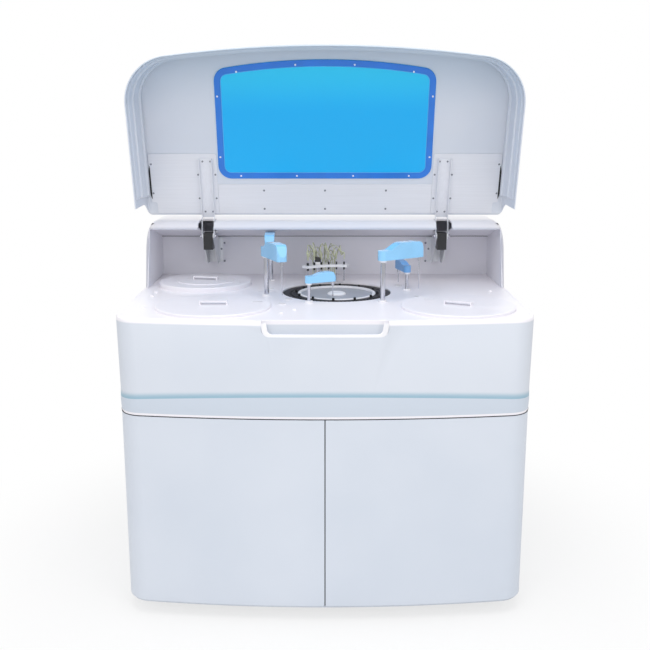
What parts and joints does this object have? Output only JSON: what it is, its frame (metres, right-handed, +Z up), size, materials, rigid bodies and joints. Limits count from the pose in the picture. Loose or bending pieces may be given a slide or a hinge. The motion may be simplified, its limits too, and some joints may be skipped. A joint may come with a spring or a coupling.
{
  "type": "chemistry analyzer",
  "caption": "Floor-standing clinical chemistry analyzer: bowed two-door cabinet, deck with covered discs, swinging blue probe arms and a raised lid with a blue window.",
  "frame": {"origin": "on the floor, under the middle of the machine", "axes": "+X to the machine's right as seen from the front, +Y to the back, +Z up"},
  "size_m": [1.224, 0.8371, 1.6986],
  "materials": {
    "painted_panel": "smooth painted light blue-grey",
    "deck_white": "smooth near-white moulding",
    "hood_grey": "matte painted grey-white sheet",
    "sheet_steel": "matte painted sheet",
    "aluminium": "satin sheet",
    "steel": "ground bright steel",
    "black_plastic": "black moulding",
    "rotor_grey": "grey moulding",
    "arm_blue": "glossy light blue moulding",
    "window_blue": "tinted clear acrylic",
    "white_plastic": "white moulding",
    "tubing": "clear yellow-green tubing",
    "rubber": "black rubber"
  },
  "bodies": {
    "housing": {"cabinet_floor": "sheet_steel", "levelling_feet": "rubber", "side_panel_left": "sheet_steel", "side_panel_right": "sheet_steel", "rear_panel": "sheet_steel", "power_inlet": "black_plastic", "bulkhead": "sheet_steel", "cabinet_shelf": "sheet_steel", "syringe_pump": "white_plastic", "electronics_box": "sheet_steel", "fluid_tanks": "white_plastic", "vacuum_pumps": "black_plastic", "console_shell": "painted_panel", "console_floor": "sheet_steel", "deck": "deck_white", "reagent_cover_front": "deck_white", "reagent_cover_rear": "deck_white", "sample_cover": "deck_white", "reaction_bath": "rotor_grey", "disc_bearings": "steel", "lift_rails": "aluminium", "shaft_bushes": "black_plastic", "wash_wells": "white_plastic", "wash_post_and_sockets": "steel", "hood_shell": "hood_grey", "hood_liner": "hood_grey", "hinge_brackets": "aluminium", "hinge_spring_boxes": "black_plastic", "hinge_pins": "steel"},
    "lid": {"lid_shell": "painted_panel", "lid_window": "window_blue", "lid_stiffeners": "aluminium", "lid_arms": "aluminium", "lid_screws": "steel"},
    "door_l": {"door_left": "painted_panel"},
    "door_r": {"door_right": "painted_panel"},
    "reagents_front": {"reagent_disc_front": "rotor_grey"},
    "reagents_rear": {"reagent_disc_rear": "rotor_grey"},
    "samples": {"sample_disc": "rotor_grey"},
    "reactions": {"reaction_plate": "rotor_grey", "cuvette_ring": "black_plastic", "reaction_hub": "white_plastic"},
    "washer": {"wash_head": "black_plastic", "wash_nozzles": "steel", "wash_tubing": "tubing"},
    "reagent_arm_front_lift": {"reagent_arm_front_carriage": "aluminium"},
    "reagent_arm_front": {"reagent_arm_front_head": "arm_blue", "reagent_arm_front_shaft_and_tip": "steel"},
    "reagent_arm_rear_lift": {"reagent_arm_rear_carriage": "aluminium"},
    "reagent_arm_rear": {"reagent_arm_rear_head": "arm_blue", "reagent_arm_rear_shaft_and_tip": "steel"},
    "sample_arm_lift": {"sample_arm_carriage": "aluminium"},
    "sample_arm": {"sample_arm_head": "arm_blue", "sample_arm_shaft_and_tip": "steel"},
    "mixer_front_lift": {"mixer_front_carriage": "aluminium"},
    "mixer_front": {"mixer_front_head": "arm_blue", "mixer_front_shaft_and_tip": "steel"},
    "mixer_rear_lift": {"mixer_rear_carriage": "aluminium"},
    "mixer_rear": {"mixer_rear_head": "arm_blue", "mixer_rear_shaft_and_tip": "steel"}
  },
  "joints": [
    {"name": "lid_hinge", "type": "hinge", "parent": "housing", "child": "lid", "pos_m": [0, 0.252, 1.076], "axis": [-1, 0, 0], "range_deg": [-75, 0]},
    {"name": "door_left_hinge", "type": "hinge", "parent": "housing", "child": "door_l", "pos_m": [-0.589, -0.27082, 0.4595], "axis": [0, 0, -1], "range_deg": [0, 105]},
    {"name": "door_right_hinge", "type": "hinge", "parent": "housing", "child": "door_r", "pos_m": [0.589, -0.27082, 0.4595], "axis": [0, 0, 1], "range_deg": [0, 105]},
    {"name": "reagent_disc_front_turn", "type": "hinge", "parent": "housing", "child": "reagents_front", "pos_m": [-0.332, -0.212, 0.9189], "axis": [0, 0, 1], "continuous": true},
    {"name": "reagent_disc_rear_turn", "type": "hinge", "parent": "housing", "child": "reagents_rear", "pos_m": [-0.406, 0.18, 0.9189], "axis": [0, 0, 1], "continuous": true},
    {"name": "sample_disc_turn", "type": "hinge", "parent": "housing", "child": "samples", "pos_m": [0.396, -0.218, 0.9189], "axis": [0, 0, 1], "continuous": true},
    {"name": "reaction_turn", "type": "hinge", "parent": "housing", "child": "reactions", "pos_m": [0.038, 0.044, 0.9189], "axis": [0, 0, 1], "continuous": true},
    {"name": "reagent_arm_front_lift", "type": "slide", "parent": "housing", "child": "reagent_arm_front_lift", "axis": [0, 0, 1], "range_m": [-0.07, 0]},
    {"name": "reagent_arm_front_swing", "type": "hinge", "parent": "reagent_arm_front_lift", "child": "reagent_arm_front", "pos_m": [-0.186, -0.025, 0.919], "axis": [0, 0, 1], "range_deg": [-29.3, 46.4]},
    {"name": "reagent_arm_rear_lift", "type": "slide", "parent": "housing", "child": "reagent_arm_rear_lift", "axis": [0, 0, 1], "range_m": [-0.07, 0]},
    {"name": "reagent_arm_rear_swing", "type": "hinge", "parent": "reagent_arm_rear_lift", "child": "reagent_arm_rear", "pos_m": [-0.188, 0.262, 0.919], "axis": [0, 0, 1], "range_deg": [-44, 39.6]},
    {"name": "sample_arm_lift", "type": "slide", "parent": "housing", "child": "sample_arm_lift", "axis": [0, 0, 1], "range_m": [-0.07, 0]},
    {"name": "sample_arm_swing", "type": "hinge", "parent": "sample_arm_lift", "child": "sample_arm", "pos_m": [0.177, -0.127, 0.919], "axis": [0, 0, 1], "range_deg": [-35, 52.7]},
    {"name": "mixer_front_lift", "type": "slide", "parent": "housing", "child": "mixer_front_lift", "axis": [0, 0, 1], "range_m": [-0.04, 0]},
    {"name": "mixer_front_swing", "type": "hinge", "parent": "mixer_front_lift", "child": "mixer_front", "pos_m": [-0.049, -0.138, 0.919], "axis": [0, 0, 1], "range_deg": [0, 120]},
    {"name": "mixer_rear_lift", "type": "slide", "parent": "housing", "child": "mixer_rear_lift", "axis": [0, 0, 1], "range_m": [-0.04, 0]},
    {"name": "mixer_rear_swing", "type": "hinge", "parent": "mixer_rear_lift", "child": "mixer_rear", "pos_m": [0.269, 0.073, 0.919], "axis": [0, 0, 1], "range_deg": [0, 74.5]},
    {"name": "wash_lift", "type": "slide", "parent": "housing", "child": "washer", "axis": [0, 0, 1], "range_m": [-0.04, 0], "deforming": ["wash_tubing"]}
  ]
}
